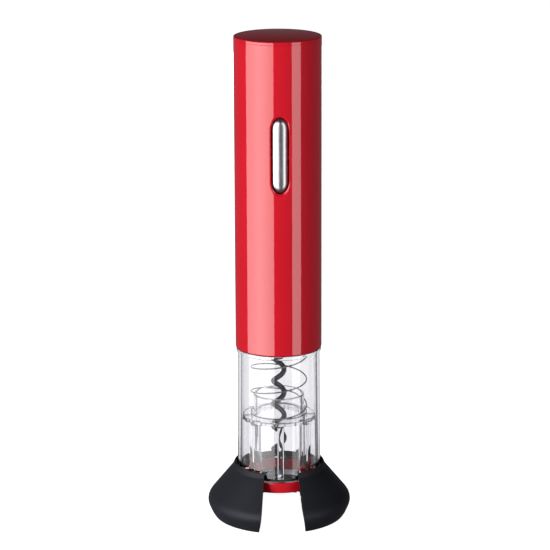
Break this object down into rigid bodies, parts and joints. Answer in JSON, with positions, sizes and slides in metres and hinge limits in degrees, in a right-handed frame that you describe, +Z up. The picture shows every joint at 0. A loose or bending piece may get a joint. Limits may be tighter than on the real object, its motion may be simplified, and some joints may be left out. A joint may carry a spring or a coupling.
{
  "type": "electric wine opener",
  "caption": "Cordless corkscrew: red battery handle with rocker switch, clear ribbed sleeve around a coated worm, standing in a squeeze-type foil cutter.",
  "frame": {"origin": "on the table under the middle of the opener, at the foil cutter's foot", "axes": "+Z up along the opener's axis, -Y the side with the button and the cutter's open slot"},
  "size_m": [0.0836, 0.0798, 0.284],
  "materials": {
    "red_gloss": "glossy red lacquered plastic",
    "clear_plastic": "clear polycarbonate",
    "black_plastic": "satin black plastic",
    "grey_plastic": "plain grey moulding",
    "silver": "satin silver-plated plastic",
    "steel": "bare steel",
    "worm_coating": "dark non-stick coating over steel",
    "brass": "stamped contact strip",
    "board_green": "circuit board",
    "cell_wrap": null,
    "gear_plastic": "natural gear plastic",
    "lead_red": "insulated lead",
    "lead_black": "insulated lead"
  },
  "bodies": {
    "stand": {"cutter_bridge": "black_plastic", "jaw_spring": "steel", "hinge_pin_left": "steel", "hinge_pin_right": "steel"},
    "jaw_left": {"left_jaw": "black_plastic", "wheel_axle_1": "steel", "wheel_axle_2": "steel"},
    "jaw_right": {"right_jaw": "black_plastic", "wheel_axle_3": "steel", "wheel_axle_4": "steel"},
    "wheel_1": {"cutting_wheel_1": "steel"},
    "wheel_2": {"cutting_wheel_2": "steel"},
    "wheel_3": {"cutting_wheel_3": "steel"},
    "wheel_4": {"cutting_wheel_4": "steel"},
    "opener": {"housing_tube": "red_gloss", "clear_sleeve": "clear_plastic", "end_ring": "red_gloss", "guide_spring": "steel", "chamber_frame": "grey_plastic", "frame_left": "grey_plastic", "frame_right": "grey_plastic", "battery_1": "cell_wrap", "battery_2": "cell_wrap", "battery_3": "cell_wrap", "battery_4": "cell_wrap", "contact_spring_1": "steel", "contact_spring_2": "steel", "lower_contact": "brass", "battery_holder": "black_plastic", "button_pin": "steel", "button_bracket": "grey_plastic", "switch_board": "board_green", "switch_up": "black_plastic", "switch_down": "black_plastic", "motor_can": "steel", "motor_end_cap": "black_plastic", "motor_plate": "steel", "motor_screw_1": "steel", "motor_screw_2": "steel", "lead_red": "lead_red", "lead_black": "lead_black", "ring_gear": "gear_plastic", "output_bearing": "steel", "bearing_plate": "steel"},
    "cap": {"battery_cap": "red_gloss", "cap_contact_left": "brass", "cap_contact_right": "brass"},
    "rocker": {"button": "silver"},
    "rotor": {"motor_shaft": "steel"},
    "stage_1": {"planet_carrier_1": "steel"},
    "planet_1": {"planet_gear_1": "gear_plastic"},
    "planet_2": {"planet_gear_2": "gear_plastic"},
    "planet_3": {"planet_gear_3": "gear_plastic"},
    "drive": {"output_carrier": "steel", "worm_hub": "steel", "worm": "worm_coating"},
    "planet_4": {"planet_gear_4": "gear_plastic"},
    "planet_5": {"planet_gear_5": "gear_plastic"},
    "planet_6": {"planet_gear_6": "gear_plastic"},
    "guide": {"cork_guide": "clear_plastic"}
  },
  "joints": [
    {"name": "opener_lift", "type": "slide", "parent": "stand", "child": "opener", "axis": [0, 0, 1], "range_m": [0, 0.05]},
    {"name": "left_jaw_squeeze", "type": "hinge", "parent": "stand", "child": "jaw_left", "pos_m": [-0.015, 0.0295, 0.007], "axis": [0, 0, 1], "range_deg": [0, 0.8], "stiffness_Nm_per_rad": 0.8},
    {"name": "right_jaw_squeeze", "type": "hinge", "parent": "stand", "child": "jaw_right", "pos_m": [0.015, 0.0295, 0.007], "axis": [0, 0, 1], "range_deg": [-0.8, 0], "stiffness_Nm_per_rad": 0.8},
    {"name": "wheel_1_spin", "type": "hinge", "parent": "jaw_left", "child": "wheel_1", "pos_m": [-0.01785, -0.00833, 0.009], "axis": [0, 0, 1], "continuous": true},
    {"name": "wheel_2_spin", "type": "hinge", "parent": "jaw_left", "child": "wheel_2", "pos_m": [-0.01785, 0.00833, 0.009], "axis": [0, 0, 1], "continuous": true},
    {"name": "wheel_3_spin", "type": "hinge", "parent": "jaw_right", "child": "wheel_3", "pos_m": [0.01785, -0.00833, 0.009], "axis": [0, 0, 1], "continuous": true},
    {"name": "wheel_4_spin", "type": "hinge", "parent": "jaw_right", "child": "wheel_4", "pos_m": [0.01785, 0.00833, 0.009], "axis": [0, 0, 1], "continuous": true},
    {"name": "battery_cap_lift", "type": "slide", "parent": "opener", "child": "cap", "axis": [0, 0, 1], "range_m": [0, 0.03]},
    {"name": "button_rock", "type": "hinge", "parent": "opener", "child": "rocker", "pos_m": [0, -0.0203, 0.2196], "axis": [1, 0, 0], "range_deg": [-2.5, 2.5], "stiffness_Nm_per_rad": 0.5},
    {"name": "worm_spin", "type": "hinge", "parent": "opener", "child": "drive", "pos_m": [0, 0, 0.15], "axis": [0, 0, 1], "continuous": true},
    {"name": "rotor_spin", "type": "hinge", "parent": "opener", "child": "rotor", "pos_m": [0, 0, 0.186], "axis": [0, 0, 1], "continuous": true},
    {"name": "carrier_1_spin", "type": "hinge", "parent": "opener", "child": "stage_1", "pos_m": [0, 0, 0.171], "axis": [0, 0, 1], "continuous": true},
    {"name": "planet_1_spin", "type": "hinge", "parent": "stage_1", "child": "planet_1", "pos_m": [0.0081, 0, 0.178], "axis": [0, 0, 1], "continuous": true},
    {"name": "planet_2_spin", "type": "hinge", "parent": "stage_1", "child": "planet_2", "pos_m": [-0.00405, 0.00702, 0.178], "axis": [0, 0, 1], "continuous": true},
    {"name": "planet_3_spin", "type": "hinge", "parent": "stage_1", "child": "planet_3", "pos_m": [-0.00405, -0.00702, 0.178], "axis": [0, 0, 1], "continuous": true},
    {"name": "planet_4_spin", "type": "hinge", "parent": "drive", "child": "planet_4", "pos_m": [0.0081, 0, 0.165], "axis": [0, 0, 1], "continuous": true},
    {"name": "planet_5_spin", "type": "hinge", "parent": "drive", "child": "planet_5", "pos_m": [-0.00405, 0.00702, 0.165], "axis": [0, 0, 1], "continuous": true},
    {"name": "planet_6_spin", "type": "hinge", "parent": "drive", "child": "planet_6", "pos_m": [-0.00405, -0.00702, 0.165], "axis": [0, 0, 1], "continuous": true},
    {"name": "guide_slide", "type": "slide", "parent": "opener", "child": "guide", "axis": [0, 0, 1], "range_m": [0, 0.028], "stiffness_N_per_m": 120, "springref_m": -0.01, "deforming": ["guide_spring"]}
  ],
  "couplings": [
    {"joint": "right_jaw_squeeze", "follows": "left_jaw_squeeze", "ratio": -1},
    {"joint": "rotor_spin", "follows": "worm_spin", "ratio": 36},
    {"joint": "carrier_1_spin", "follows": "worm_spin", "ratio": 6},
    {"joint": "planet_1_spin", "follows": "worm_spin", "ratio": -15},
    {"joint": "planet_2_spin", "follows": "worm_spin", "ratio": -15},
    {"joint": "planet_3_spin", "follows": "worm_spin", "ratio": -15},
    {"joint": "planet_4_spin", "follows": "worm_spin", "ratio": -2.5},
    {"joint": "planet_5_spin", "follows": "worm_spin", "ratio": -2.5},
    {"joint": "planet_6_spin", "follows": "worm_spin", "ratio": -2.5}
  ]
}
